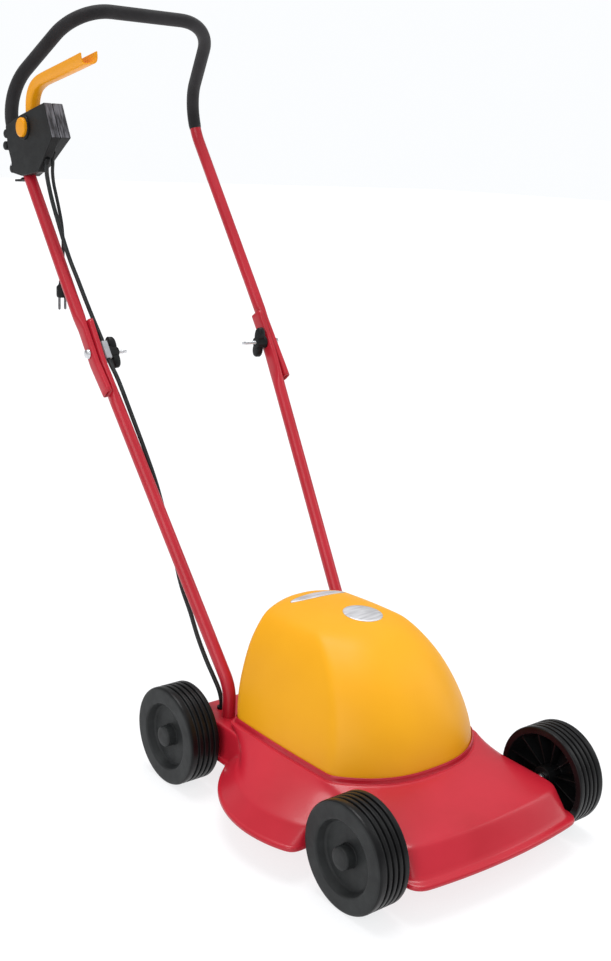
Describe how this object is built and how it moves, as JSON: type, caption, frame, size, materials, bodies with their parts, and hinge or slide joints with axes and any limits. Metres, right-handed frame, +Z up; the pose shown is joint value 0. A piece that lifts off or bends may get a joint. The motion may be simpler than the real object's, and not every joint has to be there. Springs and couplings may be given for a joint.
{
  "type": "rotary lawn mower",
  "caption": "Electric walk-behind rotary lawn mower: pressed steel deck, motor under a cowl, spinning blade, wheels, fold-down tubular handle with lever switch.",
  "frame": {"origin": "on the ground under the middle of the overall length and of the overall width, which is 13.55 mm to the operator's right of the middle of the wheels", "axes": "+Z up, +Y from the nose back to the person pushing, +X to that person's left as they face the nose, across the wheels"},
  "size_m": [0.4366, 0.9967, 1.0816],
  "materials": {
    "red_paint": "gloss",
    "yellow_plastic": "satin",
    "black_plastic": "matte",
    "wheel_plastic": "matte",
    "grip_foam": "matte",
    "cable_rubber": "satin",
    "grey_plastic": "matte",
    "bright_steel": "satin",
    "dark_steel": "satin",
    "cast_aluminium": "satin",
    "pin_brass": "satin"
  },
  "bodies": {
    "deck": {"deck_shell": "red_paint", "tube_lower_right": "red_paint", "tube_lower_left": "red_paint", "motor_cowl": "yellow_plastic", "lead_grommet": "black_plastic", "motor_lead_lower": "cable_rubber", "lower_bearing": "bright_steel", "upper_bearing": "bright_steel", "motor_bolt_right": "bright_steel", "motor_bolt_left": "bright_steel", "cowl_screw_front": "bright_steel", "cowl_screw_rear": "bright_steel", "socket_bolt_right": "bright_steel", "socket_bolt_left": "bright_steel", "fold_bolt_right": "bright_steel", "fold_bolt_left": "bright_steel", "axle_front_right": "bright_steel", "axle_front_left": "bright_steel", "axle_rear_right": "bright_steel", "axle_rear_left": "bright_steel", "motor_stator": "dark_steel", "tube_socket_right": "dark_steel", "tube_socket_left": "dark_steel", "motor_flange": "cast_aluminium", "motor_top_bracket": "cast_aluminium"},
    "rotor": {"motor_shaft": "bright_steel", "armature": "dark_steel", "cooling_fan": "black_plastic", "blade_hub": "cast_aluminium", "blade": "dark_steel", "blade_bolt": "bright_steel"},
    "handle": {"tube_upper": "red_paint", "grip_sleeve": "grip_foam", "switch_box_outer": "black_plastic", "switch_box_inner": "black_plastic", "box_screw_1": "bright_steel", "box_screw_2": "bright_steel", "micro_switch": "grey_plastic", "lever_pin": "bright_steel", "motor_lead_upper": "cable_rubber", "pigtail_cord": "cable_rubber", "plug_body": "black_plastic", "plug_pin_right": "pin_brass", "plug_pin_left": "pin_brass", "lead_clip": "grey_plastic"},
    "lever": {"release_lever": "yellow_plastic"},
    "button": {"lock_button": "yellow_plastic"},
    "knob_right": {"wing_knob_right": "black_plastic"},
    "knob_left": {"wing_knob_left": "black_plastic"},
    "wheel_front_right": {"wheel_front_right": "wheel_plastic", "hub_cap_front_right": "wheel_plastic"},
    "wheel_front_left": {"wheel_front_left": "wheel_plastic", "hub_cap_front_left": "wheel_plastic"},
    "wheel_rear_right": {"wheel_rear_right": "wheel_plastic", "hub_cap_rear_right": "wheel_plastic"},
    "wheel_rear_left": {"wheel_rear_left": "wheel_plastic", "hub_cap_rear_left": "wheel_plastic"}
  },
  "joints": [
    {"name": "wheel_spin_front_right", "type": "hinge", "parent": "deck", "child": "wheel_front_right", "pos_m": [-0.16445, -0.40965, 0.07], "axis": [1, 0, 0], "continuous": true},
    {"name": "wheel_spin_front_left", "type": "hinge", "parent": "deck", "child": "wheel_front_left", "pos_m": [0.19155, -0.40965, 0.07], "axis": [1, 0, 0], "continuous": true},
    {"name": "wheel_spin_rear_right", "type": "hinge", "parent": "deck", "child": "wheel_rear_right", "pos_m": [-0.16445, -0.02365, 0.07], "axis": [1, 0, 0], "continuous": true},
    {"name": "wheel_spin_rear_left", "type": "hinge", "parent": "deck", "child": "wheel_rear_left", "pos_m": [0.19155, -0.02365, 0.07], "axis": [1, 0, 0], "continuous": true},
    {"name": "rotor_spin", "type": "hinge", "parent": "deck", "child": "rotor", "pos_m": [0.01355, -0.25465, 0.1], "axis": [0, 0, 1], "continuous": true},
    {"name": "handle_fold", "type": "hinge", "parent": "deck", "child": "handle", "pos_m": [0.01355, 0.24165, 0.574], "axis": [1, 0, 0], "range_deg": [0, 135]},
    {"name": "lever_squeeze", "type": "hinge", "parent": "handle", "child": "lever", "pos_m": [-0.16045, 0.39535, 0.884], "axis": [-1, 0, 0], "range_deg": [0, 25], "stiffness_Nm_per_rad": 0.6, "springref_deg": -11.46},
    {"name": "button_press", "type": "slide", "parent": "handle", "child": "button", "axis": [1, 0, 0], "range_m": [0, 0.003], "stiffness_N_per_m": 600, "springref_m": -0.002},
    {"name": "knob_turn_right", "type": "hinge", "parent": "deck", "child": "knob_right", "pos_m": [-0.11645, 0.24165, 0.574], "axis": [1, 0, 0], "continuous": true},
    {"name": "knob_turn_left", "type": "hinge", "parent": "deck", "child": "knob_left", "pos_m": [0.14355, 0.24165, 0.574], "axis": [1, 0, 0], "continuous": true}
  ]
}
